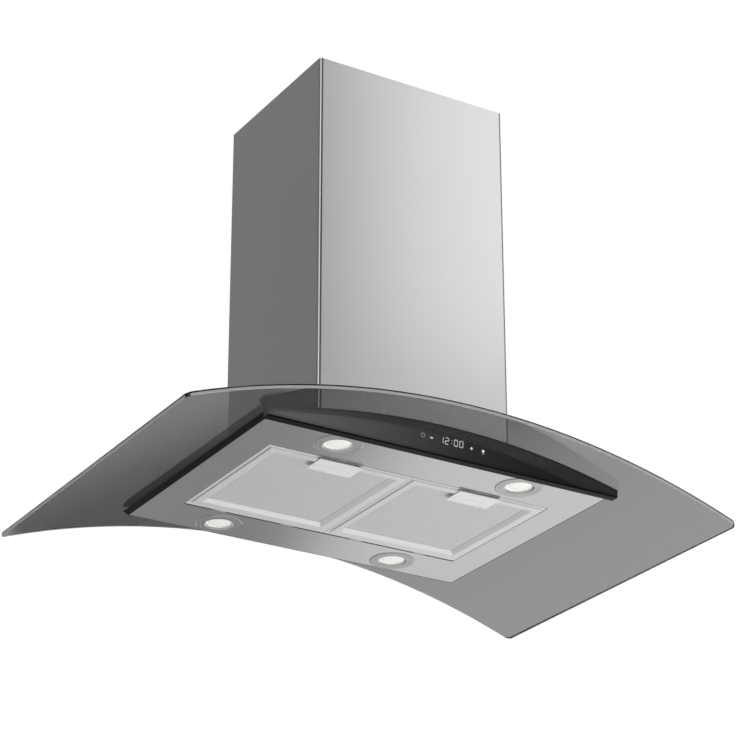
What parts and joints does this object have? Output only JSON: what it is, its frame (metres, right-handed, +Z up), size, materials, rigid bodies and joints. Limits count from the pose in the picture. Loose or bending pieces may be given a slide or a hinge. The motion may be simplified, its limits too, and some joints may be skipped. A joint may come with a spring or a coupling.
{
  "type": "island range hood",
  "caption": "Ceiling-hung range hood with a bent smoked-glass canopy, telescopic steel chimney, lit underside, drop-down grease filters and twist-on carbon filters.",
  "frame": {"origin": "middle of the ceiling plate's top face, on the ceiling", "axes": "+Z up; the control panel faces -Y; +X to the right of a person facing the panel"},
  "size_m": [0.9, 0.595, 0.6858],
  "materials": {
    "stainless": "brushed stainless steel",
    "smoked_glass": "smoked tempered glass",
    "gasket_rubber": "matt black rubber",
    "black_steel": "black powder coat",
    "galvanised": "galvanised sheet",
    "zinc_screws": "zinc plate",
    "blower_plastic": "dark grey moulded plastic",
    "wheel_plastic": "black moulded plastic",
    "motor_paint": "grey paint",
    "bright_steel": "ground steel",
    "carbon_black": "satin black moulded plastic",
    "panel_black": "black gloss",
    "panel_fascia": "dark grey gloss",
    "panel_lip": "satin black",
    "display": "dark display",
    "circuit_board": "green circuit board",
    "lamp_metal": "satin bright metal",
    "lamp_lens": "frosted",
    "filter_frame": "satin aluminium",
    "filter_mesh": "expanded aluminium mesh",
    "latch_plastic": "silver-grey plastic",
    "box_plastic": "white moulded plastic",
    "capacitor_can": "drawn aluminium can",
    "gland_plastic": "black nylon"
  },
  "bodies": {
    "ceiling_frame": {"ceiling_plate": "galvanised", "upper_cover_front": "stainless", "upper_cover_rear": "stainless", "foot_screws": "zinc_screws", "upper_cover_screws": "zinc_screws", "upper_upright_front_left": "galvanised", "upper_upright_front_right": "galvanised", "upper_upright_rear_left": "galvanised", "upper_upright_rear_right": "galvanised"},
    "hood": {"lower_cover_front": "stainless", "lower_cover_rear": "stainless", "bottom_plate": "stainless", "glass_canopy": "smoked_glass", "glass_gasket": "gasket_rubber", "canopy_pan": "black_steel", "motor_box": "galvanised", "glass_clamp": "galvanised", "lower_upright_front_left": "galvanised", "lower_upright_front_right": "galvanised", "lower_upright_rear_left": "galvanised", "lower_upright_rear_right": "galvanised", "clamp_screws": "zinc_screws", "lower_cover_screws": "zinc_screws", "scroll_left": "blower_plastic", "scroll_right": "blower_plastic", "inlet_grille_left": "blower_plastic", "inlet_grille_right": "blower_plastic", "outlet_collar": "blower_plastic", "motor": "motor_paint", "flap_pin": "bright_steel", "panel_housing": "panel_black", "panel_fascia": "panel_fascia", "panel_lip": "panel_lip", "display_module": "display", "touch_board": "circuit_board", "lamp_bezel_front_left": "lamp_metal", "lamp_bezel_front_right": "lamp_metal", "lamp_bezel_rear_left": "lamp_metal", "lamp_bezel_rear_right": "lamp_metal", "lamp_lens_front_left": "lamp_lens", "lamp_lens_front_right": "lamp_lens", "lamp_lens_rear_left": "lamp_lens", "lamp_lens_rear_right": "lamp_lens", "control_box": "box_plastic", "capacitor": "capacitor_can", "cable_gland": "gland_plastic"},
    "fan": {"fan_wheel": "wheel_plastic", "fan_shaft": "bright_steel"},
    "flap_left": {"flap_left": "blower_plastic"},
    "filter_left": {"filter_frame_left": "filter_frame", "filter_mesh_left": "filter_mesh"},
    "latch_left": {"filter_latch_left": "latch_plastic"},
    "carbon_left": {"carbon_filter_left": "carbon_black"},
    "flap_right": {"flap_right": "blower_plastic"},
    "filter_right": {"filter_frame_right": "filter_frame", "filter_mesh_right": "filter_mesh"},
    "latch_right": {"filter_latch_right": "latch_plastic"},
    "carbon_right": {"carbon_filter_right": "carbon_black"}
  },
  "joints": [
    {"name": "height_slide", "type": "slide", "parent": "ceiling_frame", "child": "hood", "axis": [0, 0, -1], "range_m": [0, 0.3]},
    {"name": "fan_spin", "type": "hinge", "parent": "hood", "child": "fan", "pos_m": [0, 0, -0.4712], "axis": [1, 0, 0], "continuous": true},
    {"name": "flap_left_hinge", "type": "hinge", "parent": "hood", "child": "flap_left", "pos_m": [0, 0, -0.30125], "axis": [0, 1, 0], "range_deg": [0, 75]},
    {"name": "filter_left_hinge", "type": "hinge", "parent": "hood", "child": "filter_left", "pos_m": [-0.11681, 0.1295, -0.6432], "axis": [1, 0, 0], "range_deg": [0, 60]},
    {"name": "latch_left_slide", "type": "slide", "parent": "filter_left", "child": "latch_left", "axis": [0, 1, 0], "range_m": [0, 0.008], "stiffness_N_per_m": 400},
    {"name": "carbon_left_twist", "type": "hinge", "parent": "hood", "child": "carbon_left", "pos_m": [0, 0, -0.4712], "axis": [-1, 0, 0], "range_deg": [0, 30]},
    {"name": "flap_right_hinge", "type": "hinge", "parent": "hood", "child": "flap_right", "pos_m": [0, 0, -0.30125], "axis": [0, -1, 0], "range_deg": [0, 75]},
    {"name": "filter_right_hinge", "type": "hinge", "parent": "hood", "child": "filter_right", "pos_m": [0.11681, 0.1295, -0.6432], "axis": [1, 0, 0], "range_deg": [0, 60]},
    {"name": "latch_right_slide", "type": "slide", "parent": "filter_right", "child": "latch_right", "axis": [0, 1, 0], "range_m": [0, 0.008], "stiffness_N_per_m": 400},
    {"name": "carbon_right_twist", "type": "hinge", "parent": "hood", "child": "carbon_right", "pos_m": [0, 0, -0.4712], "axis": [-1, 0, 0], "range_deg": [0, 30]}
  ]
}
